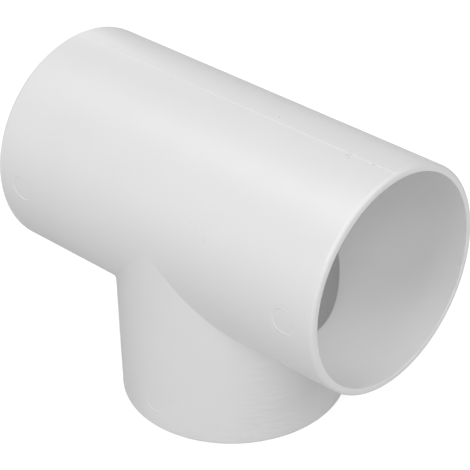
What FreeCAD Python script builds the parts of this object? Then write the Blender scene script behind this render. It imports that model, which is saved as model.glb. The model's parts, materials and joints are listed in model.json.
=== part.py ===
import FreeCAD, Part
import math
import os

import Sketcher

# Conduit tee, in millimetres.
# One injection moulding of rigid PVC: a straight run with a branch square to it, and a plain socket at each
# of the three mouths. Conduit slides into the sockets. The run and the branch have the same bore and wall.
#
# Frame: +Z up, the run along X and the branch hanging below it. The origin is the centre of the branch's
# mouth, which the tee stands on. The two halves of the mould met on the plane Y = 0.

DRIVING_SIZES = (
    ("conduit_diameter", 50.0, "outside diameter of the conduit"),
    ("socket_clearance", 0.3, "bore less conduit, on the diameter"),
    ("wall_thickness", 1.85, "wall of the three sockets"),
    ("run_length", 97.8, "mouth to mouth along the run"),
    ("axis_height", 49.3, "branch mouth up to the axis of the run"),
    ("saddle_radius", 1.2, "rounding where the branch leaves the run"),
    ("mouth_radius", 0.9, "rounding round the outside of each mouth"),
    ("mouth_break", 0.15, "lead-in round the inside of each mouth"),
    ("mark_diameter", 6.2, "round witness mark left by the mould"),
    ("mark_depth", 0.1, "how far a witness mark is sunk"),
    ("mark_setback", 8.1, "mouth to the middle of its witness mark"),
    ("seam_width", 0.4, "raised mould line, across"),
    ("seam_height", 0.08, "raised mould line, above the surface"),
)

# Radii and lengths that follow from the driving sizes.
BORE_RADIUS = "(sizes.conduit_diameter + sizes.socket_clearance) / 2"
OUTER_RADIUS = "(" + BORE_RADIUS + " + sizes.wall_thickness)"
SEAM_RADIUS = "(" + OUTER_RADIUS + " + sizes.seam_height)"
HALF_RUN = "(sizes.run_length / 2)"

ALONG_X = FreeCAD.Rotation(FreeCAD.Vector(0, 1, 0), 90)
ALONG_MINUS_X = FreeCAD.Rotation(FreeCAD.Vector(0, 1, 0), -90)
ALONG_MINUS_Y = FreeCAD.Rotation(FreeCAD.Vector(1, 0, 0), 90)
ALONG_Z = FreeCAD.Rotation()

# Two places that are nearer than this are the same place.
SAME_PLACE = 1e-4

doc = FreeCAD.newDocument("conduit_tee")


def make_sheet():
    sheet = doc.addObject("Spreadsheet::Sheet", "sizes")
    for row, (alias, value, meaning) in enumerate(DRIVING_SIZES, start=1):
        sheet.set("A%d" % row, meaning)
        sheet.set("B%d" % row, str(value))
        sheet.setAlias("B%d" % row, alias)
    doc.recompute()


def place(item, rotation, x="0", z="0"):
    item.Placement = FreeCAD.Placement(FreeCAD.Vector(), rotation)
    item.setExpression("Placement.Base.x", x)
    item.setExpression("Placement.Base.z", z)


# Sketches and features

def new_body(label):
    body = doc.addObject("PartDesign::Body", label)
    body.Label = label
    return body


def origin_plane(body, role):
    return [item for item in body.Origin.OriginFeatures if item.Role == role][0]


def new_sketch(body, name, plane_role):
    sketch = body.newObject("Sketcher::SketchObject", name)
    sketch.AttachmentSupport = [(origin_plane(body, plane_role), "")]
    sketch.MapMode = "FlatFace"
    return sketch


def dimension(sketch, constraint, name, expression):
    sketch.addConstraint(constraint)
    sketch.renameConstraint(sketch.ConstraintCount - 1, name)
    sketch.setExpression("Constraints." + name, expression)


def sector_sketch(body, name, plane_role, angles, side_directions, centre_height):
    """A sector of the tee's outer circle, between two angles in degrees, centred on the sketch's own Y axis."""
    sketch = new_sketch(body, name, plane_role)
    centre = FreeCAD.Vector(0, 1, 0)
    rim = Part.Circle(centre, FreeCAD.Vector(0, 0, 1), 1)
    first, last = [math.radians(angle) for angle in angles]
    arc = sketch.addGeometry(Part.ArcOfCircle(rim, first, last), False)
    outward = sketch.addGeometry(Part.LineSegment(centre, rim.value(first)), False)
    inward = sketch.addGeometry(Part.LineSegment(rim.value(last), centre), False)
    sketch.addConstraint(Sketcher.Constraint("Coincident", outward, 1, arc, 3))
    sketch.addConstraint(Sketcher.Constraint("Coincident", outward, 2, arc, 1))
    sketch.addConstraint(Sketcher.Constraint("Coincident", inward, 1, arc, 2))
    sketch.addConstraint(Sketcher.Constraint("Coincident", inward, 2, arc, 3))
    sketch.addConstraint(Sketcher.Constraint(side_directions[0], outward))
    sketch.addConstraint(Sketcher.Constraint(side_directions[1], inward))
    sketch.addConstraint(Sketcher.Constraint("PointOnObject", arc, 3, -2))
    dimension(sketch, Sketcher.Constraint("Radius", arc, 1), "outer_radius", OUTER_RADIUS)
    if centre_height:
        dimension(sketch, Sketcher.Constraint("DistanceY", -1, 1, arc, 3, 1), "centre_height", centre_height)
    else:
        sketch.addConstraint(Sketcher.Constraint("PointOnObject", arc, 3, -1))
    return sketch


def pad(body, sketch, name, length, side_type):
    feature = body.newObject("PartDesign::Pad", name)
    feature.Profile = sketch
    feature.SideType = side_type
    feature.setExpression("Length", length)
    doc.recompute()
    return feature


def fillet(body, base, name, edge_names, radius):
    feature = body.newObject("PartDesign::Fillet", name)
    feature.Base = (base, edge_names)
    feature.setExpression("Radius", radius)
    doc.recompute()
    return feature


def mirror(body, name, plane_role):
    feature = body.newObject("PartDesign::Mirrored", name)
    feature.TransformMode = "Whole shape"
    feature.MirrorPlane = (origin_plane(body, plane_role), [""])
    body.Tip = feature
    doc.recompute()


# Edges

def edges_of(feature, wanted):
    """Names of the feature's edges that the test accepts."""
    return ["Edge%d" % number for number, edge in enumerate(feature.Shape.Edges, start=1) if wanted(edge)]


def is_curve(edge, kind):
    return not edge.Degenerated and isinstance(edge.Curve, kind)


def runs_across(edge):
    """Whether an edge of the mould line's plate is parallel to Y."""
    reach = edge.BoundBox
    return max(reach.XLength, reach.ZLength) < SAME_PLACE < reach.YLength


def is_at_mouth(edge, run_end):
    """Whether an edge lies in the plane of one of the three mouths."""
    reach = edge.BoundBox
    at_run_end = min(abs(reach.XMin), abs(reach.XMax)) > run_end - SAME_PLACE
    at_branch_end = reach.ZMax < SAME_PLACE
    return at_run_end or at_branch_end


# The outside of the tee

def make_barrels():
    """Run and branch, rounded where they meet and at their mouths, without their bores.

    The two cylinders are equal, so the half ellipses they meet in run together at mid height on each side.
    The rounding between them is made on one quarter, where its edge simply ends there, and then mirrored.
    """
    body = new_body("barrels")
    half_disc = sector_sketch(
        body, "run_half_disc", "YZ_Plane", (90, 270), ("Vertical", "Vertical"), "sizes.axis_height")
    pad(body, half_disc, "run_barrel", HALF_RUN, "One side")
    quarter_disc = sector_sketch(
        body, "branch_quarter_disc", "XY_Plane", (270, 360), ("Vertical", "Horizontal"), None)
    joined = pad(body, quarter_disc, "branch_barrel", "sizes.axis_height", "One side")

    saddle_edges = edges_of(joined, lambda edge: is_curve(edge, Part.Ellipse))
    saddle = fillet(body, joined, "saddle_rounding", saddle_edges, "sizes.saddle_radius")
    run_end = saddle.Shape.BoundBox.XMax
    mouth_edges = edges_of(saddle, lambda edge: is_curve(edge, Part.Circle) and is_at_mouth(edge, run_end))
    fillet(body, saddle, "mouth_rounding", mouth_edges, "sizes.mouth_radius")
    mirror(body, "both_ends", "YZ_Plane")
    mirror(body, "both_sides", "XZ_Plane")
    return body


def make_mould_line():
    """A thin T-shaped plate on Y = 0, larger than the barrels by the height of the raised mould line."""
    body = new_body("mould_line")
    sketch = new_sketch(body, "mould_line_outline", "XZ_Plane")
    # The T's corners from the branch's mouth anticlockwise, as starting places that the dimensions then move.
    corners = ((-2, 0), (2, 0), (2, 3), (4, 3), (4, 7), (-4, 7), (-4, 3), (-2, 3))
    points = [FreeCAD.Vector(x, z, 0) for x, z in corners]
    count = len(points)
    branch_end, run_end, top, other_run_end = 0, 3, 4, 5
    for side in range(count):
        sketch.addGeometry(Part.LineSegment(points[side], points[(side + 1) % count]), False)
    for side in range(count):
        sketch.addConstraint(Sketcher.Constraint("Coincident", side, 2, (side + 1) % count, 1))
        if side not in (branch_end, top):
            sketch.addConstraint(Sketcher.Constraint("Vertical" if side % 2 else "Horizontal", side))
    sketch.addConstraint(Sketcher.Constraint("PointOnObject", branch_end, 1, -1))
    sketch.addConstraint(Sketcher.Constraint("Symmetric", branch_end, 1, branch_end, 2, -2))
    sketch.addConstraint(Sketcher.Constraint("Symmetric", top, 1, top, 2, -2))
    sketch.addConstraint(Sketcher.Constraint("Equal", run_end, other_run_end))
    branch_width = Sketcher.Constraint("DistanceX", branch_end, 1, branch_end, 2, 4)
    run_width = Sketcher.Constraint("DistanceY", run_end, 1, run_end, 2, 4)
    mouth_to_mouth = Sketcher.Constraint("DistanceX", top, 2, top, 1, 8)
    top_height = Sketcher.Constraint("DistanceY", -1, 1, top, 1, 7)
    dimension(sketch, branch_width, "branch_width", SEAM_RADIUS + " * 2")
    dimension(sketch, run_width, "run_width", SEAM_RADIUS + " * 2")
    dimension(sketch, mouth_to_mouth, "mouth_to_mouth", "sizes.run_length")
    dimension(sketch, top_height, "top_height", "sizes.axis_height + " + SEAM_RADIUS)
    plate = pad(body, sketch, "mould_line_plate", "sizes.seam_width", "Symmetric")

    # The plate's corners follow the roundings of the barrels, and stand above them by the line's height.
    end = plate.Shape.BoundBox.XMax
    saddle_edges = edges_of(plate, lambda edge: runs_across(edge) and not is_at_mouth(edge, end))
    saddle = fillet(body, plate, "saddle_corners", saddle_edges, "sizes.saddle_radius - sizes.seam_height")
    mouth_edges = edges_of(saddle, lambda edge: runs_across(edge) and is_at_mouth(edge, end))
    fillet(body, saddle, "mouth_corners", mouth_edges, "sizes.mouth_radius")
    return body


# The bores

def make_rod(name, rotation, radius, length, x="0", z="0"):
    rod = doc.addObject("Part::Cylinder", name)
    rod.setExpression("Radius", radius)
    rod.setExpression("Height", length)
    place(rod, rotation, x, z)
    return rod


def make_lead_in(name, rotation, x="0", z="0"):
    """A low cone with its wide end in a mouth, which breaks the sharp inner edge there."""
    cone = doc.addObject("Part::Cone", name)
    cone.setExpression("Radius1", BORE_RADIUS + " + sizes.mouth_break")
    cone.setExpression("Radius2", BORE_RADIUS)
    cone.setExpression("Height", "sizes.mouth_break")
    place(cone, rotation, x, z)
    return cone


def make_bores():
    return [
        make_rod("run_bore", ALONG_X, BORE_RADIUS, "sizes.run_length", "-" + HALF_RUN, "sizes.axis_height"),
        make_rod("branch_bore", ALONG_Z, BORE_RADIUS, "sizes.axis_height"),
        make_lead_in("run_lead_in_a", ALONG_MINUS_X, HALF_RUN, "sizes.axis_height"),
        make_lead_in("run_lead_in_b", ALONG_X, "-" + HALF_RUN, "sizes.axis_height"),
        make_lead_in("branch_lead_in", ALONG_Z),
    ]


# The witness marks

def make_witness_mark(name, x, z, barrel_rotation, barrel_length, barrel_x, barrel_z):
    """A round cutter on the -Y side of a barrel. Its floor is curved like the barrel, so it sinks evenly."""
    pin_length = OUTER_RADIUS + " + sizes.wall_thickness"
    core_radius = OUTER_RADIUS + " - sizes.mark_depth"
    pin = make_rod(name + "_pin", ALONG_MINUS_Y, "sizes.mark_diameter / 2", pin_length, x, z)
    core = make_rod(name + "_core", barrel_rotation, core_radius, barrel_length, barrel_x, barrel_z)
    cutter = doc.addObject("Part::Cut", name)
    cutter.Base = pin
    cutter.Tool = core
    return cutter


def make_witness_marks():
    run = (ALONG_X, "sizes.run_length", "-" + HALF_RUN, "sizes.axis_height")
    branch = (ALONG_Z, "sizes.axis_height", "0", "0")
    from_middle = "(" + HALF_RUN + " - sizes.mark_setback)"
    return [
        make_witness_mark("run_mark_a", from_middle, "sizes.axis_height", *run),
        make_witness_mark("run_mark_b", "-" + from_middle, "sizes.axis_height", *run),
        make_witness_mark("branch_mark", "0", "sizes.mark_setback", *branch),
    ]


# The whole moulding

def make_tee():
    outside = doc.addObject("Part::MultiFuse", "outside")
    outside.Shapes = [make_barrels(), make_mould_line()]
    outside.Refine = True
    cutters = doc.addObject("Part::MultiFuse", "cutters")
    cutters.Shapes = make_bores() + make_witness_marks()
    tee = doc.addObject("Part::Cut", "tee_body")
    tee.Label = "tee_body"
    tee.Base = outside
    tee.Tool = cutters
    tee.Placement = FreeCAD.Placement()
    return tee


def check_document(subparts):
    for item in doc.Objects:
        if "Invalid" in item.State or "Error" in item.State:
            raise RuntimeError("%s is in state %s" % (item.Name, item.State))
    for item in subparts:
        if item.Shape.isNull() or not item.Shape.isValid():
            raise RuntimeError("%s has no valid shape" % item.Label)


def export(subparts):
    os.makedirs("parts", exist_ok=True)
    for item in subparts:
        shape = item.Shape
        shape.exportStep("parts/%s.step" % item.Label)
        box = shape.optimalBoundingBox()
        extents = "%.2f x %.2f x %.2f mm" % (box.XLength, box.YLength, box.ZLength)
        print("%s: %d solid, %s, %.1f mm3" % (item.Label, len(shape.Solids), extents, shape.Volume))


make_sheet()
pieces = [make_tee()]
doc.recompute()
check_document(pieces)
export(pieces)
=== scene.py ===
# %% [markdown]
# # A conduit tee in Blender
#
# The object is a tee for rigid electrical conduit: a straight run with a square branch, all in one
# white plastic moulding. Conduit slides into each of the three mouths. The CAD model gives its true
# sizes. This script builds a finer skin over the same sizes, with the small things that a mould
# leaves behind, and lights it as a product photographer would.
#
# It starts by loading the CAD model as a fixed frame. Everything is in metres, +Z up, and the tee
# stands on the mouth of its branch.

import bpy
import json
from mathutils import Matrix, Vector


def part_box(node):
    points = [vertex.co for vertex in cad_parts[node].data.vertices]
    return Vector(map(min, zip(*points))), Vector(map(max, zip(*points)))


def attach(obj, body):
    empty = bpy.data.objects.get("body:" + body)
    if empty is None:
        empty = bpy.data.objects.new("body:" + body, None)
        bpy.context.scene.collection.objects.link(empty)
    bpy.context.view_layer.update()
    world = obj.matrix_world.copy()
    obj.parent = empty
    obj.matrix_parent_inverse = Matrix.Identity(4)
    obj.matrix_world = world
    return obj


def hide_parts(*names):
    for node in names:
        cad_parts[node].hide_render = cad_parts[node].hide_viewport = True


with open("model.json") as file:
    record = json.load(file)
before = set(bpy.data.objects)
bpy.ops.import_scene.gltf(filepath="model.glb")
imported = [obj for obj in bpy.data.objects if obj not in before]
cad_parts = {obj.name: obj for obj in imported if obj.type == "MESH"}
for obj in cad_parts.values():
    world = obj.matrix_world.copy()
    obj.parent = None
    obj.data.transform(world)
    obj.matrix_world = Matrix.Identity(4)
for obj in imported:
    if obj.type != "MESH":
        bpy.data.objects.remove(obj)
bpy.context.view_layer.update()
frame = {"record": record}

# %% Tools
import json
from math import cos, hypot, pi, radians, sin

import bmesh
import bpy
from mathutils import Euler, Matrix, Vector

MM = 0.001

# %% [markdown]
# ## The camera first
#
# A model is judged against its photograph, so the camera comes before any shape. The photograph was
# taken from a distance of seventeen tube radii through a long lens, from the right and well above.
# Solving the outline, the two rims and the bore for the camera gave its place and its turn. A long
# lens flattens perspective: the far end of the run looks only slightly smaller than the near one.

# %% Camera
CAMERA_PLACE = (0.27898, -0.28590, 0.29994)
CAMERA_TURN_DEGREES = (56.968, 1.497, 43.172)
SENSOR_WIDTH_MM = 36
LENS_MM = 157.84
NEAREST = 0.01
FARTHEST = 20


def place_camera():
    camera = bpy.data.objects.new("camera", bpy.data.cameras.new("camera"))
    camera.data.sensor_width = SENSOR_WIDTH_MM
    camera.data.lens = LENS_MM
    camera.data.clip_start = NEAREST
    camera.data.clip_end = FARTHEST
    camera.location = CAMERA_PLACE
    camera.rotation_euler = Euler([radians(angle) for angle in CAMERA_TURN_DEGREES])
    bpy.context.scene.collection.objects.link(camera)
    bpy.context.scene.camera = camera


place_camera()
print("camera %.2f m from the tee's foot, lens %.0f mm" % (Vector(CAMERA_PLACE).length, LENS_MM))

# %% [markdown]
# ## Sizes
#
# The sizes come from the CAD model, so the skin can't drift away from it. The bore and the height
# of the run's axis are read from its mounts, and the outside from its box. Only what is too small
# to be worth measuring there is given here: roundings, the mould line and the mould's witness
# marks.

# %% Sizes from the frame
mounts = {mount["name"]: mount for mount in frame["record"]["mounts"]}
_, cad_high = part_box("tee_body")

BORE_RADIUS = mounts["run_socket_a"]["dims"]["r_mm"] * MM
AXIS_HEIGHT = mounts["run_socket_a"]["pos_m"][2]
OUTER_RADIUS = cad_high[1]
RUN_REACH = cad_high[0]
BRANCH_REACH = AXIS_HEIGHT

MOUTH_ROUNDING = 0.9 * MM
MOUTH_BREAK = 0.15 * MM
SADDLE_ROUNDING = 1.2 * MM
BORE_SADDLE_ROUNDING = 0.25 * MM
print("bore radius %.2f mm, outer radius %.2f mm, run %.1f mm to each side, branch %.1f mm"
      % (BORE_RADIUS / MM, OUTER_RADIUS / MM, RUN_REACH / MM, BRANCH_REACH / MM))

# %% [markdown]
# ## One barrel by spinning its wall
#
# A tube is a body of revolution. Its wall's section is drawn once as a chain of edges: along the
# outside, round the rim, and back along the bore. Bevelling the chain's corner points turns them
# into true arcs. The chain has extra points where the witness mark will go, which give the barrel
# a grid of square faces there.

# %% Wall section
LINES_ROUND = 360
STEP_ANGLE = 2 * pi / LINES_ROUND
CELL = OUTER_RADIUS * STEP_ANGLE
MARK_SETBACK = 8.1 * MM
MARK_CELLS = 20
WINDOW_HALF = MARK_CELLS / 2 * CELL
FLAT = 0.3 * MM
MOUTH_STEPS = 8
BREAK_STEPS = 4
BORE_STEPS = 8


def mark_place(reach):
    """How far along a barrel the middle of its witness mark is."""
    return reach - MARK_SETBACK


def outside_places(reach):
    """Where the outside has rings, from the middle of the tee to a little before the mouth."""
    middle = mark_place(reach)
    window = [middle - WINDOW_HALF + cell * CELL for cell in range(MARK_CELLS + 1)]
    saddle_end = OUTER_RADIUS + SADDLE_ROUNDING + FLAT
    halfway = (saddle_end + window[0]) / 2
    mouth_end = reach - MOUTH_ROUNDING - FLAT
    return [0, saddle_end, halfway] + window + [(window[-1] + mouth_end) / 2, mouth_end]


def draw_chain(bm, points):
    corners = [bm.verts.new((along, 0, outward)) for along, outward in points]
    for start, end in zip(corners, corners[1:]):
        bm.edges.new((start, end))
    return corners


def round_corner(bm, corner, radius, segments):
    bmesh.ops.bevel(bm, geom=[corner], offset=radius, offset_type="OFFSET", segments=segments,
                    profile=0.5, affect="VERTICES", material=-1)


def draw_wall(bm, reach):
    """The section of the wall along +X, with its outside first."""
    outside = [(along, OUTER_RADIUS) for along in outside_places(reach)]
    rim_middle = (OUTER_RADIUS - MOUTH_ROUNDING + BORE_RADIUS + MOUTH_BREAK) / 2
    rim = [(reach, OUTER_RADIUS), (reach, rim_middle), (reach, BORE_RADIUS)]
    bore_end = BORE_RADIUS + BORE_SADDLE_ROUNDING + FLAT
    first = reach - MOUTH_BREAK - FLAT
    inside = [(first + (bore_end - first) * step / BORE_STEPS, BORE_RADIUS)
              for step in range(BORE_STEPS + 1)]
    corners = draw_chain(bm, outside + rim + inside + [(0, BORE_RADIUS)])
    outer_corner = corners[len(outside)]
    inner_corner = corners[len(outside) + 2]
    round_corner(bm, outer_corner, MOUTH_ROUNDING, MOUTH_STEPS)
    round_corner(bm, inner_corner, MOUTH_BREAK, BREAK_STEPS)


# %% [markdown]
# One spin round the X axis makes the whole barrel, rim and all. It gives even quads, and every line
# along the barrel is where we want it, which matters when two barrels have to meet. There is a line
# for each degree, fine enough for the outline to look round from near by.

# %% Barrels
def spin_barrel(reach):
    """A barrel along +X, from the middle of the tee to the mouth."""
    bm = bmesh.new()
    draw_wall(bm, reach)
    bmesh.ops.spin(bm, geom=bm.verts[:] + bm.edges[:], cent=(0, 0, 0), axis=(1, 0, 0),
                   dvec=(0, 0, 0), angle=2 * pi, steps=LINES_ROUND, use_merge=True,
                   use_duplicate=False)
    print("barrel of %.1f mm: %d quads" % (reach / MM, len(bm.faces)))
    return bm


run_half = spin_barrel(RUN_REACH)
branch = spin_barrel(BRANCH_REACH)

# %% [markdown]
# ## Mitring the barrels
#
# Two equal tubes that cross at a right angle meet in two flat ellipses, like the mitre of a picture
# frame. So each barrel is cut by a plane through the Y axis. The lines along both barrels reach
# that plane in the same points, because both were spun in the same steps, and the halves can be
# welded with no boolean.
#
# The saddle is rounded, so each barrel is cut a little short. A ball rolled along the joint touches
# each barrel on a plane that leans out by the ball's radius over the tube's. The gap is filled by
# carrying the cut edge across in steps on a quarter circle. Each step only scales the edge, since
# every one of these rings is an ellipse through the same two points at mid height.

# %% Mitre and saddle
WALL_MIDDLE = (OUTER_RADIUS + BORE_RADIUS) / 2
SAME_PLACE = 1e-7
ON_PLANE = 10 * SAME_PLACE
SADDLE_STEPS = 12
BORE_SADDLE_STEPS = 4


def skin_of_run(bm, outer):
    """The faces of the outside or of the bore. Which of them the rim falls to doesn't matter."""
    chosen = []
    for face in bm.faces:
        middle = face.calc_center_median()
        if (hypot(middle.y, middle.z) > WALL_MIDDLE) == outer:
            chosen.append(face)
    return chosen


def each_once(items):
    """The items without repeats, in the order in which they came."""
    return list(dict.fromkeys(items))


def parts_of(faces):
    edges = each_once(edge for face in faces for edge in face.edges)
    verts = each_once(vert for face in faces for vert in face.verts)
    return verts + edges + list(faces)


def trim(bm, skin_of, outer, normal):
    """Cuts a skin by a plane through the tee's middle and keeps the normal's side of it."""
    bmesh.ops.bisect_plane(bm, geom=parts_of(skin_of(bm, outer)), dist=SAME_PLACE,
                           plane_co=(0, 0, 0), plane_no=normal)
    waste = [face for face in skin_of(bm, outer) if face.calc_center_median().dot(normal) < 0]
    bmesh.ops.delete(bm, geom=waste, context="FACES")


def edges_on(bm, outer, normal):
    """The open edges of one skin, under the run's axis, that lie on a plane through it."""
    found = []
    for edge in bm.edges:
        middle = (edge.verts[0].co + edge.verts[1].co) / 2
        flat = all(abs(vert.co.dot(normal)) < ON_PLANE for vert in edge.verts)
        this_skin = (hypot(middle.y, middle.z) > WALL_MIDDLE) == outer
        if edge.is_boundary and flat and middle.z < 0 and this_skin:
            found.append(edge)
    return found


def draw_out(bm, rim):
    """Extrudes a chain of edges. Returns the new chain's points and its edges."""
    drawn = bmesh.ops.extrude_edge_only(bm, edges=rim)["geom"]
    ring = [item for item in drawn if isinstance(item, bmesh.types.BMVert)]
    points = set(ring)
    new_rim = [item for item in drawn
               if isinstance(item, bmesh.types.BMEdge) and set(item.verts) <= points]
    return ring, new_rim


def carry_across(bm, rim, lean, steps):
    """Carries the run's cut edge round a quarter circle to where the branch's begins."""
    wide, deep = 1 + lean, 1
    for step in range(1, steps + 1):
        turn = pi / 2 * step / steps
        next_wide = 1 + lean - lean * sin(turn)
        next_deep = 1 + lean - lean * cos(turn)
        ring, rim = draw_out(bm, rim)
        bmesh.ops.scale(bm, vec=(next_wide / wide, 1, next_deep / deep), verts=ring)
        wide, deep = next_wide, next_deep


OUTER_LEAN = SADDLE_ROUNDING / OUTER_RADIUS
BORE_LEAN = BORE_SADDLE_ROUNDING / BORE_RADIUS

for outer, lean, steps in ((True, OUTER_LEAN, SADDLE_STEPS), (False, BORE_LEAN, BORE_SADDLE_STEPS)):
    run_plane = Vector((1, 0, 1 + lean)).normalized()
    trim(run_half, skin_of_run, outer, run_plane)
    carry_across(run_half, edges_on(run_half, outer, run_plane), lean, steps)
print("half of the run, with its side of the saddle: %d faces" % len(run_half.faces))

# %% [markdown]
# The branch is the same barrel turned to hang down. It is cut on both sides, to a blunt V that fits
# between the two halves of the run.

# %% Branch
bmesh.ops.rotate(branch, cent=(0, 0, 0), matrix=Matrix.Rotation(radians(90), 3, "Y"),
                 verts=branch.verts)


def skin_of_branch(bm, outer):
    chosen = []
    for face in bm.faces:
        middle = face.calc_center_median()
        if (hypot(middle.x, middle.y) > WALL_MIDDLE) == outer:
            chosen.append(face)
    return chosen


for outer, lean in ((True, OUTER_LEAN), (False, BORE_LEAN)):
    for side in (-1, 1):
        branch_plane = Vector((side * (1 + lean), 0, -1)).normalized()
        trim(branch, skin_of_branch, outer, branch_plane)
print("branch: %d faces" % len(branch.faces))

# %% [markdown]
# ## One skin
#
# The real tee is one moulding, so the pieces become one mesh. The run's second half is the first
# one mirrored. Points that fall together are merged, which welds the mitres, and a count of the
# open edges shows whether any seam was missed. A mirror turns faces inside out, so the normals are
# worked out again after the weld.

# %% Assembly
WELD_REACH = 2e-6


def add_to(target, source):
    """Puts one bmesh into another, by way of a short-lived mesh."""
    passing = bpy.data.meshes.new("passing")
    source.to_mesh(passing)
    target.from_mesh(passing)
    bpy.data.meshes.remove(passing)


def count_open_edges(bm):
    return len([edge for edge in bm.edges if not edge.is_manifold])


tee = bmesh.new()
add_to(tee, run_half)
bmesh.ops.scale(run_half, vec=(-1, 1, 1), verts=run_half.verts)
add_to(tee, run_half)
add_to(tee, branch)
run_half.free()
branch.free()
bmesh.ops.remove_doubles(tee, verts=tee.verts, dist=WELD_REACH)
bmesh.ops.recalc_face_normals(tee, faces=tee.faces)
print("tee: %d faces, %d open edges" % (len(tee.faces), count_open_edges(tee)))

# %% [markdown]
# ## Witness marks
#
# On the side towards the camera there are three round marks, one near each mouth. They are where
# the mould's steel has a round insert that stands about a tenth of a millimetre proud, so the mark
# is a disc sunk that much, with its floor curved like the barrel and its edge a little soft. The
# wall is drawn in very slightly round it, which leaves the edge standing like a lip. The run's two
# marks are a little deeper than the branch's, because they show more clearly in the photograph.

# %% How deep a mark is
MARK_RADIUS = 3.1 * MM
MARK_EDGE = 0.24 * MM
MARK_RINGS_MM = (4.25, 4.1, 3.95, 3.8, 3.66, 3.56, 3.5, 3.44, 3.38, 3.32, 3.27, 3.22, 3.18, 3.14,
                 3.1, 3.06, 3.02, 2.98, 2.94, 2.88, 2.4, 1.8, 1.2, 0.5)
MARK_SURROUND = 4.4 * MM
MARK_LIP = 3.22 * MM
DIP_MIDDLE = 3.5 * MM
DIP_SHARE = 0.4
RUN_MARK_DEPTH = 0.135 * MM
BRANCH_MARK_DEPTH = 0.08 * MM


def ease(amount):
    """0 to 1 with a gentle start and end."""
    amount = min(max(amount, 0), 1)
    return amount * amount * (3 - 2 * amount)


def mark_share(distance):
    """How much of its depth a mark has at a distance from its middle, with the dip round it."""
    disc = ease((MARK_RADIUS + MARK_EDGE / 2 - distance) / MARK_EDGE)
    inner = ease((distance - MARK_LIP) / (DIP_MIDDLE - MARK_LIP))
    outer = ease((MARK_SURROUND - distance) / (MARK_SURROUND - DIP_MIDDLE))
    return disc + DIP_SHARE * min(inner, outer)


print("run's marks %.3f mm deep, with a dip of %.3f mm round them"
      % (RUN_MARK_DEPTH / MM, RUN_MARK_DEPTH * mark_share(DIP_MIDDLE) / MM))

# %% [markdown]
# A boolean cut would leave long thin faces round the disc. Instead a square window is opened in the
# barrel's quads, a circle is set in it, the two loops are bridged, and the circle is drawn in ring
# by ring. The new points are then laid on the barrel, each as deep as the mark is there.

# %% Sinking the marks
SPOKE_CUTS = 2
# Just past the corners of the window.
LAY_REACH = 1.45 * WINDOW_HALF


def open_window(bm, middle, along, across):
    """Removes the barrel's quads in a square round a mark and returns the edges round the hole."""
    inside = []
    for face in bm.faces:
        place = face.calc_center_median()
        turn = abs(place.dot(across) / OUTER_RADIUS)
        far = abs((place - middle).dot(along))
        in_window = far < WINDOW_HALF and turn < sin(MARK_CELLS / 2 * STEP_ANGLE)
        if in_window and place.y < -WALL_MIDDLE:
            inside.append(face)
    bmesh.ops.delete(bm, geom=inside, context="FACES")
    return [edge for edge in bm.edges if edge.is_boundary]


def lay_on_barrel(bm, middle, along, depth):
    """Puts the outside's points round a mark on the barrel, less the mark's depth there."""
    for vert in bm.verts:
        outward = vert.co - along * vert.co.dot(along)
        distance = (vert.co - middle).length
        if distance < LAY_REACH and outward.length > WALL_MIDDLE:
            sunk = depth * mark_share(distance)
            vert.co += outward.normalized() * (OUTER_RADIUS - sunk - outward.length)


def sink_mark(bm, middle, along, across, depth):
    window = open_window(bm, middle, along, across)
    facing = Matrix((along, across, along.cross(across))).transposed().to_4x4()
    circle = bmesh.ops.create_circle(bm, cap_ends=False, segments=len(window),
                                     radius=MARK_SURROUND,
                                     matrix=Matrix.Translation(middle) @ facing)["verts"]
    rim = each_once(edge for vert in circle for edge in vert.link_edges)
    spokes = bmesh.ops.bridge_loops(bm, edges=window + rim)["edges"]
    bmesh.ops.subdivide_edges(bm, edges=spokes, cuts=SPOKE_CUTS)

    reach = MARK_SURROUND
    for radius in MARK_RINGS_MM:
        ring, rim = draw_out(bm, rim)
        shrink = radius * MM / reach
        bmesh.ops.scale(bm, vec=(shrink, shrink, shrink), space=Matrix.Translation(-middle),
                        verts=ring)
        reach = radius * MM
    bmesh.ops.pointmerge(bm, verts=ring, merge_co=middle)
    lay_on_barrel(bm, middle, along, depth)
    print("mark of %.1f mm, %.3f mm deep" % (2 * MARK_RADIUS / MM, depth / MM))


ALONG_RUN = Vector((1, 0, 0))
ALONG_BRANCH = Vector((0, 0, 1))
for side in (-1, 1):
    run_mark = Vector((side * mark_place(RUN_REACH), -OUTER_RADIUS, 0))
    sink_mark(tee, run_mark, ALONG_RUN, ALONG_BRANCH, RUN_MARK_DEPTH)
branch_mark = Vector((0, -OUTER_RADIUS, -mark_place(BRANCH_REACH)))
sink_mark(tee, branch_mark, ALONG_BRANCH, ALONG_RUN, BRANCH_MARK_DEPTH)

# %% [markdown]
# ## The mould line
#
# The mould's two halves met on the plane Y = 0. They leave a hair of plastic standing along the top
# of the run, under it, and down both sides of the branch. It is under a tenth of a millimetre high,
# faint near one mouth, and nicked in a few places near the other, as a worn mould leaves it.

# %% How high the mould line stands
LINE_HEIGHT = 0.079 * MM
LINE_PROFILE_MM = ((-0.42, 0), (-0.28, 0.25), (-0.12, 0.85), (0, 1), (0.12, 0.85), (0.28, 0.25),
                   (0.42, 0))
LINE_HALF_WIDTH = LINE_PROFILE_MM[-1][0] * MM
# Where each nick is along X, and half its length.
NICKS_MM = ((36.3, 0.55), (38.6, 0.3), (42.9, 0.35), (45.5, 0.35))
NICK_SHARE = 0.1
FAINT_SHARE = 0.18
FAINT_UNTIL_MM = -40
FULL_FROM_MM = -15


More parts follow.
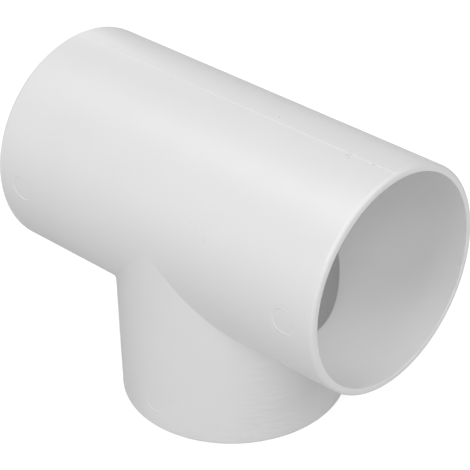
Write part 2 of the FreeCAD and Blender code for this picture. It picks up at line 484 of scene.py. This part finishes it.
def line_share(place):
    """How much of its full height the line has at a point. It dies out round the mouths."""
    share = 0
    for (start, low), (end, high) in zip(LINE_PROFILE_MM, LINE_PROFILE_MM[1:]):
        if start * MM <= place.y <= end * MM:
            share = low + (high - low) * (place.y / MM - start) / (end - start)
    along = (place.x / MM - FAINT_UNTIL_MM) / (FULL_FROM_MM - FAINT_UNTIL_MM)
    share *= FAINT_SHARE + (1 - FAINT_SHARE) * ease(along)
    if any(place.z > 0 and abs(place.x / MM - middle) < half for middle, half in NICKS_MM):
        share *= NICK_SHARE
    past_mouth = max(abs(place.x) - RUN_REACH, -place.z - BRANCH_REACH) + MOUTH_ROUNDING
    return share * (1 - ease(past_mouth / MOUTH_ROUNDING))


print("mould line %.3f mm high, with %d nicks" % (LINE_HEIGHT / MM, len(NICKS_MM)))

# %% [markdown]
# The barrel's own lines are too far apart to carry so thin a ridge. Cuts parallel to the plane
# Y = 0 give the skin the lines it needs, and those are then lifted.
#
# The line is also painted a little whiter than the wall, as a painted highlight along its ridge,
# full on top and weaker underneath. How much of it there is at each point is kept with the mesh as
# an attribute, which the material reads later.

# %% Raising the mould line
LINE_CUTS = [across * MM for across, _ in LINE_PROFILE_MM if across]
NICK_EDGE_MM = 0.12
# How strong the mould line's painted highlight is, and how much of it is left underneath.
HIGHLIGHT_SPREAD = 1.6
HIGHLIGHT_BELOW = 0.4
ON_SKIN = 0.004 * MM


def near_line(bm):
    """Outside faces that the mould line runs over."""
    chosen = []
    for face in bm.faces:
        place = face.calc_center_median()
        outside = place.z > WALL_MIDDLE or (place.z < -WALL_MIDDLE and abs(place.x) > WALL_MIDDLE)
        if outside and abs(place.y) < CELL:
            chosen.append(face)
    return chosen


def on_barrel(vert):
    """The direction straight out of the barrel that a point lies on, if it lies on one."""
    for outward in (Vector((0, vert.co.y, vert.co.z)), Vector((vert.co.x, vert.co.y, 0))):
        if abs(outward.length - OUTER_RADIUS) < ON_SKIN:
            return outward.normalized()
    return None


def on_top_near_the_mouth(faces):
    """Those faces of the line that lie on top of the run, on its +X side."""
    chosen = []
    for face in faces:
        place = face.calc_center_median()
        if abs(place.y) < LINE_HALF_WIDTH and place.z > 0 and place.x > 0:
            chosen.append(face)
    return chosen


def cut_line(bm):
    """Puts points along the line's flanks, and across it at both ends of each nick."""
    for cut in LINE_CUTS:
        bmesh.ops.bisect_plane(bm, geom=parts_of(near_line(bm)), dist=SAME_PLACE,
                               plane_co=(0, cut, 0), plane_no=(0, 1, 0))
    for middle, half in NICKS_MM:
        for across in (-half - NICK_EDGE_MM, -half, half, half + NICK_EDGE_MM):
            strip = on_top_near_the_mouth(near_line(bm))
            bmesh.ops.bisect_plane(bm, geom=parts_of(strip), dist=SAME_PLACE,
                                   plane_co=((middle + across) * MM, 0, 0), plane_no=(1, 0, 0))


def raise_line(bm):
    cut_line(bm)
    bm.normal_update()
    painted_highlight = bm.verts.layers.float.new("mould_line")
    flank = LINE_HALF_WIDTH + SAME_PLACE
    raised = each_once(vert for face in near_line(bm) for vert in face.verts
                       if abs(vert.co.y) < flank)
    for vert in raised:
        outward = on_barrel(vert) or vert.normal
        share = line_share(vert.co)
        # Painted highlight: the line is coloured whiter, less so underneath, where less light falls.
        highlight_by_side = 1 if vert.co.z > 0 else HIGHLIGHT_BELOW
        vert[painted_highlight] = min(1, HIGHLIGHT_SPREAD * share) * highlight_by_side
        vert.co += outward * LINE_HEIGHT * share
    print("mould line: %d points raised" % len(raised))


raise_line(tee)
bmesh.ops.recalc_face_normals(tee, faces=tee.faces)
print("tee with its marks: %d faces, %d open edges" % (len(tee.faces), count_open_edges(tee)))

# %% [markdown]
# ## The piece
#
# So far the tee has its middle at zero, which kept the mitres simple. Its mesh is now moved up to
# where the CAD model stands, and its object stays at the origin. The skin is shaded smooth, as a
# polished moulding is: its real corners are rounded in the mesh, so they need no sharp edges. It
# then stands for the CAD solid, which stays behind for collisions.

# %% Piece
def put_in_scene(bm, name):
    """Turns a finished bmesh into a smoothly shaded object."""
    mesh = bpy.data.meshes.new(name)
    bm.to_mesh(mesh)
    bm.free()
    for polygon in mesh.polygons:
        polygon.use_smooth = True
    shape = bpy.data.objects.new(name, mesh)
    bpy.context.scene.collection.objects.link(shape)
    return shape


bmesh.ops.translate(tee, vec=(0, 0, AXIS_HEIGHT), verts=tee.verts)
tee_skin = put_in_scene(tee, "tee_moulding")
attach(tee_skin, "root")
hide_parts("tee_body")
print("%s: %d faces, for the CAD node tee_body" % (tee_skin.name, len(tee_skin.data.polygons)))

# %% [markdown]
# ## Rigid PVC
#
# The tee is injection moulded in rigid PVC, white right through and with a satin face from a
# polished mould. White PVC sends back nearly nine tenths of the light, with a clear but soft gloss
# on top, as its index of 1.53 gives.
#
# A single flat colour would look like paint. Real mouldings are very slightly cloudy, because the
# pigment isn't mixed perfectly, and their gloss wanders where the melt cooled slower. Both are
# noises in the piece's own coordinates, so they stay with the plastic. The mould line is painted a
# little whiter, as a painted highlight along its ridge, by the attribute that came with it.

# %% Colours and nodes
def srgb(code):
    """A hex colour as linear RGBA."""
    channels = [int(code[start:start + 2], 16) / 255 for start in (1, 3, 5)]
    linear = [value / 12.92 if value <= 0.04045 else ((value + 0.055) / 1.055) ** 2.4
              for value in channels]
    return (*linear, 1)


def new_material(name):
    material = bpy.data.materials.new(name)
    material.use_nodes = True
    return material, material.node_tree.nodes["Principled BSDF"]


def add_node(material, kind, settings=None, values=None, links=None):
    """Adds a node, with its settings, its sockets' values and what its sockets are linked from."""
    node = material.node_tree.nodes.new(kind)
    for name, value in (settings or {}).items():
        setattr(node, name, value)
    for socket, value in (values or {}).items():
        node.inputs[socket].default_value = value
    for socket, source in (links or {}).items():
        material.node_tree.links.new(source, node.inputs[socket])
    return node


# %% White PVC
CLOUD_MM = 14
GLOSS_PATCH_MM = 6
PVC_IOR = 1.53
GLOSSIEST = 0.36
DULLEST = 0.44
# A noise stays mostly between these two.
NOISE_LOW = 0.3
NOISE_HIGH = 0.7
# A Mix node has sockets for each kind of data, so its colours and vectors are told by number.
COLOUR_A, COLOUR_B, COLOUR_OUT = 6, 7, 2
VECTOR_A, VECTOR_B, VECTOR_OUT = 4, 5, 1

pvc, shader = new_material("rigid_pvc_moulded")
shader.inputs["Metallic"].default_value = 0
shader.inputs["IOR"].default_value = PVC_IOR
piece_place = add_node(pvc, "ShaderNodeTexCoord").outputs["Object"]

cloud = add_node(pvc, "ShaderNodeTexNoise",
                 values={"Scale": 1 / (CLOUD_MM * MM), "Detail": 3, "Roughness": 0.5},
                 links={"Vector": piece_place})
cloudy = add_node(pvc, "ShaderNodeMix", {"data_type": "RGBA"},
                  {COLOUR_A: srgb("#EFEFEF"), COLOUR_B: srgb("#F3F3F3")},
                  {"Factor": cloud.outputs["Fac"]})
# The mould line's painted highlight: a whiter colour wherever its attribute is high.
line = add_node(pvc, "ShaderNodeAttribute", {"attribute_name": "mould_line"})
with_line_highlight = add_node(pvc, "ShaderNodeMix", {"data_type": "RGBA"}, {COLOUR_B: srgb("#F8F8F8")},
                 {"Factor": line.outputs["Fac"], COLOUR_A: cloudy.outputs[COLOUR_OUT]})

patches = add_node(pvc, "ShaderNodeTexNoise",
                   values={"Scale": 1 / (GLOSS_PATCH_MM * MM), "Detail": 2},
                   links={"Vector": piece_place})
gloss = add_node(pvc, "ShaderNodeMapRange",
                 values={"From Min": NOISE_LOW, "From Max": NOISE_HIGH,
                         "To Min": GLOSSIEST, "To Max": DULLEST},
                 links={"Value": patches.outputs["Fac"]})
pvc.node_tree.links.new(gloss.outputs["Result"], shader.inputs["Roughness"])
print("white PVC: cloud %.0f mm, gloss patches %.0f mm" % (CLOUD_MM, GLOSS_PATCH_MM))

# %% [markdown]
# ## Specks
#
# A little plastic burns in the hot barrel of the press and comes out as dark specks, several of
# them near one mouth here. A noise would scatter them anywhere. These have chosen places, so each
# one is a small ball round a point of the run, and the darkest of them wins where two meet.

# %% Specks
SPECK_OUTSIDE = 1.3
SPECK_INSIDE = 0.5
# Along the run in mm, degrees round it from the top towards -Y, radius in mm, and how dark.
SPECKS = (
    (35.9, 1.8, 0.26, 0.8),
    (36.5, 0.7, 0.22, 0.8),
    (37.0, 3.2, 0.3, 0.5),
    (42.9, 0.7, 0.26, 0.9),
    (14.3, -3.9, 0.22, 1.0),
    (12.9, -3.0, 0.2, 0.5),
    (12.0, 64.9, 0.4, 0.15),
    (16.9, 69.7, 0.4, 0.2),
    (13.8, 66.9, 0.35, 0.15),
)


def speck_share(along, turn, radius, darkness):
    """A node output that is high only within a small ball on the run."""
    across = -OUTER_RADIUS * sin(radians(turn))
    up = AXIS_HEIGHT + OUTER_RADIUS * cos(radians(turn))
    distance = add_node(pvc, "ShaderNodeVectorMath", {"operation": "DISTANCE"},
                        {1: (along * MM, across, up)}, {0: piece_place})
    share = add_node(pvc, "ShaderNodeMapRange",
                     values={"From Min": SPECK_OUTSIDE * radius * MM,
                             "From Max": SPECK_INSIDE * radius * MM,
                             "To Min": 0, "To Max": darkness},
                     links={"Value": distance.outputs["Value"]})
    return share.outputs["Result"]


speckled = speck_share(*SPECKS[0])
for speck in SPECKS[1:]:
    both = add_node(pvc, "ShaderNodeMath", {"operation": "MAXIMUM"},
                    links={0: speckled, 1: speck_share(*speck)})
    speckled = both.outputs["Value"]
plastic = add_node(pvc, "ShaderNodeMix", {"data_type": "RGBA"}, {COLOUR_B: srgb("#D2D2D2")},
                   {"Factor": speckled, COLOUR_A: with_line_highlight.outputs[COLOUR_OUT]})
pvc.node_tree.links.new(plastic.outputs[COLOUR_OUT], shader.inputs["Base Color"])
print("%d specks" % len(SPECKS))

# %% [markdown]
# ## Lathe rings and grain
#
# The mould was turned on a lathe, which leaves shallow rings round each barrel. They are polished
# out nearly everywhere, but less well on the +X side of the branch's cavity, where the photograph
# shows faint streaks. They are far finer than the mesh, so a bump node draws them, from a noise
# that is drawn out round the barrel. The branch stands across the run, so it is drawn out another
# way there. These rings are probably several times as high as real ones. Their height was chosen
# so that the streaks look about as strong as the photograph's.
#
# Over them lies the fine grain of a polished mould. Its grains are drawn half a millimetre across,
# coarser than real ones, which would be lost between two pixels.

# %% Lathe rings and grain
RING_SPACING_MM = 1.1
RING_STRETCH = 0.16
RING_HEIGHT_MM = 0.24
GRAIN_MM = 0.5
GRAIN_HEIGHT_MM = 0.003
# Along X: where the polish begins to fall short, and from where it is poorest.
SMOOTH_BELOW_MM = 13
ROUGH_ABOVE_MM = 23
SMOOTH_SHARE = 0.05

# The branch is what lies below the two planes that its barrel and the run's meet on.
axes = add_node(pvc, "ShaderNodeSeparateXYZ", links={"Vector": piece_place})
sideways = add_node(pvc, "ShaderNodeMath", {"operation": "ABSOLUTE"}, links={0: axes.outputs["X"]})
mitre = add_node(pvc, "ShaderNodeMath", {"operation": "ADD"},
                 links={0: sideways.outputs["Value"], 1: axes.outputs["Z"]})
on_branch = add_node(pvc, "ShaderNodeMath", {"operation": "LESS_THAN"}, {1: AXIS_HEIGHT},
                     {0: mitre.outputs["Value"]})
run_stretch = add_node(pvc, "ShaderNodeMapping",
                       values={"Scale": (1, RING_STRETCH, RING_STRETCH)},
                       links={"Vector": piece_place})
branch_stretch = add_node(pvc, "ShaderNodeMapping",
                          values={"Scale": (RING_STRETCH, RING_STRETCH, 1)},
                          links={"Vector": piece_place})
stretched = add_node(pvc, "ShaderNodeMix", {"data_type": "VECTOR"},
                     links={"Factor": on_branch.outputs["Value"],
                            VECTOR_A: run_stretch.outputs["Vector"],
                            VECTOR_B: branch_stretch.outputs["Vector"]})
rings = add_node(pvc, "ShaderNodeTexNoise",
                 values={"Scale": 1 / (RING_SPACING_MM * MM), "Detail": 2},
                 links={"Vector": stretched.outputs[VECTOR_OUT]})
one_side = add_node(pvc, "ShaderNodeMapRange",
                    values={"From Min": SMOOTH_BELOW_MM * MM, "From Max": ROUGH_ABOVE_MM * MM,
                            "To Min": 0, "To Max": 1},
                    links={"Value": axes.outputs["X"]})
left_rough = add_node(pvc, "ShaderNodeMath", {"operation": "MULTIPLY"},
                      links={0: one_side.outputs["Result"], 1: on_branch.outputs["Value"]})
ring_share = add_node(pvc, "ShaderNodeMath", {"operation": "MAXIMUM"}, {1: SMOOTH_SHARE},
                      {0: left_rough.outputs["Value"]})
ring_bump = add_node(pvc, "ShaderNodeBump", values={"Distance": RING_HEIGHT_MM * MM},
                     links={"Height": rings.outputs["Fac"], "Strength": ring_share.outputs["Value"]})
grain = add_node(pvc, "ShaderNodeTexNoise", values={"Scale": 1 / (GRAIN_MM * MM), "Detail": 1},
                 links={"Vector": piece_place})
grain_bump = add_node(pvc, "ShaderNodeBump",
                      values={"Strength": 1, "Distance": GRAIN_HEIGHT_MM * MM},
                      links={"Height": grain.outputs["Fac"], "Normal": ring_bump.outputs["Normal"]})
pvc.node_tree.links.new(grain_bump.outputs["Normal"], shader.inputs["Normal"])
tee_skin.data.materials.append(pvc)
print("lathe rings %.1f mm apart, grain of %.1f mm" % (RING_SPACING_MM, GRAIN_MM))

# %% [markdown]
# ## The paper and the card
#
# The photograph's ground is pure white with no shadow to speak of. In a studio that is a paper
# sweep with its own lights. Here the paper is a wide dish, so there is paper behind the tee from
# every side, and a glow stands for the paper's lights. They are aimed at its far parts, so the glow
# rises away from the tee. Only the camera sees it.
#
# What the tee itself stands over is a grey card, which the camera doesn't see. The underside of the
# run and the inside of the branch are darker in the photograph than they would be over lit paper,
# and a card that sends back a third of the light, with a weak glow, gives just that.

# %% Materials of paper and card
PAPER_ROUGHNESS = 0.9
PAPER_GLOW = 0.55
FAR_GLOW = 0.95
GLOW_RISES_FROM = 0.7
GLOW_RISES_TO = 2.2
CARD_GLOW = 0.22


def new_ground_material(name, colour, glow):
    material, ground_shader = new_material(name)
    ground_shader.inputs["Base Color"].default_value = srgb(colour)
    ground_shader.inputs["Roughness"].default_value = PAPER_ROUGHNESS
    ground_shader.inputs["Emission Color"].default_value = (1, 1, 1, 1)
    ground_shader.inputs["Emission Strength"].default_value = glow
    return material, ground_shader


white_paper, paper_shader = new_ground_material("white_paper", "#F4F4F4", PAPER_GLOW)
grey_card, _ = new_ground_material("grey_card", "#A0A0A0", CARD_GLOW)

paper_place = add_node(white_paper, "ShaderNodeTexCoord").outputs["Object"]
from_tee = add_node(white_paper, "ShaderNodeVectorMath", {"operation": "LENGTH"},
                    links={0: paper_place})
paper_glow = add_node(white_paper, "ShaderNodeMapRange",
                      values={"From Min": GLOW_RISES_FROM, "From Max": GLOW_RISES_TO,
                              "To Min": PAPER_GLOW, "To Max": FAR_GLOW},
                      links={"Value": from_tee.outputs["Value"]})
white_paper.node_tree.links.new(paper_glow.outputs["Result"],
                                paper_shader.inputs["Emission Strength"])
print("paper's glow %.2f near the tee and %.2f far away" % (PAPER_GLOW, FAR_GLOW))

# %% [markdown]
# Both are round sheets. The paper's edge is drawn up and out in steps, so it curves into a wall with
# no corner that a camera could see. The card lies half a millimetre lower, or the two would
# flicker where they meet.

# %% Laying paper and card
PAPER_REACH = 3
PAPER_SIDES = 96
WALL_STEPS = 12
WALL_HEIGHT = 2
CARD_DROP = 0.5 * MM


def lay_ground(name, material, wall_steps):
    """A round sheet. Its edge is drawn up and out to a wall, in as many steps as are asked for."""
    bm = bmesh.new()
    circle = bmesh.ops.create_circle(bm, cap_ends=True, segments=PAPER_SIDES,
                                     radius=PAPER_REACH)["verts"]
    rim = each_once(edge for vert in circle for edge in vert.link_edges)
    out, height = 0, 0
    for step in range(1, wall_steps + 1):
        turn = pi / 2 * step / wall_steps
        next_out, next_height = sin(turn), WALL_HEIGHT * (1 - cos(turn))
        ring, rim = draw_out(bm, rim)
        grow = (PAPER_REACH + next_out) / (PAPER_REACH + out)
        bmesh.ops.scale(bm, vec=(grow, grow, 1), verts=ring)
        bmesh.ops.translate(bm, vec=(0, 0, next_height - height), verts=ring)
        out, height = next_out, next_height
    ground = put_in_scene(bm, name)
    ground.data.materials.append(material)
    return ground


paper = lay_ground("paper_sweep", white_paper, WALL_STEPS)
paper.visible_diffuse = False
paper.visible_glossy = False
paper.visible_shadow = False
card = lay_ground("grey_card", grey_card, 0)
card.location.z = -CARD_DROP
card.visible_camera = False
print("paper of %d faces, card %.1f mm under it" % (len(paper.data.polygons), CARD_DROP / MM))

# %% [markdown]
# ## Soft light from all round
#
# The photograph has no hard shadow and no bright highlight, only a slow change of tone round each
# barrel. So the light comes from many large softboxes. Each one was first rendered by itself, and
# the mix that gives the photograph's tones was then worked out from those pictures. The strongest
# are high over the -X side, low beyond it, and high on the two sides that face the camera. The bore
# stays darker, because less light comes in at the open mouth.

# %% Softboxes
SOFTBOX_SIZE = 0.7
SOFTBOX_DISTANCE = 1.5
SOFTBOX_AIM = Vector((0, 0, 0.04))
SOFTBOXES = (
    ("front_high", 0, 40, 5.3),
    ("right_low", 60, 12, 3.2),
    ("right_high", 60, 40, 5.6),
    ("back_right_high", 120, 40, 3.8),
    ("back_right_top", 120, 65, 3.2),
    ("back_left_low", 210, 12, 0.9),
    ("left_low", 240, 12, 5.8),
    ("left_top", 300, 65, 5.9),
    ("front_left_low", 330, 12, 2.3),
)


def hang_softbox(name, azimuth, elevation, power):
    """Azimuth 0 is the -Y side, which faces the camera on its left, and 90 is the +X side."""
    light = bpy.data.lights.new(name, "AREA")
    light.shape = "SQUARE"
    light.size = SOFTBOX_SIZE
    light.energy = power
    holder = bpy.data.objects.new(name, light)
    turn = radians(azimuth)
    level = cos(radians(elevation))
    outward = Vector((sin(turn) * level, -cos(turn) * level, sin(radians(elevation))))
    holder.location = SOFTBOX_AIM + SOFTBOX_DISTANCE * outward
    holder.rotation_euler = (-outward).to_track_quat("-Z", "Y").to_euler()
    holder.visible_camera = False
    bpy.context.scene.collection.objects.link(holder)


for softbox in SOFTBOXES:
    hang_softbox(*softbox)
print("%d softboxes, %.1f W in all" % (len(SOFTBOXES), sum(power for *_, power in SOFTBOXES)))

# %% [markdown]
# ## Plain tones
#
# The softboxes' powers were worked out for plain tones, so the picture is shown with the Standard
# view, which leaves them as they are. A film-like view would grey the white paper. The world gives
# no light, because the softboxes and the card already give all of it.

# %% Plain tones
world = bpy.data.worlds.new("studio")
bpy.context.scene.world = world
world.use_nodes = True
world.node_tree.nodes["Background"].inputs["Strength"].default_value = 0
bpy.context.scene.view_settings.view_transform = "Standard"
print("view:", bpy.context.scene.view_settings.view_transform)
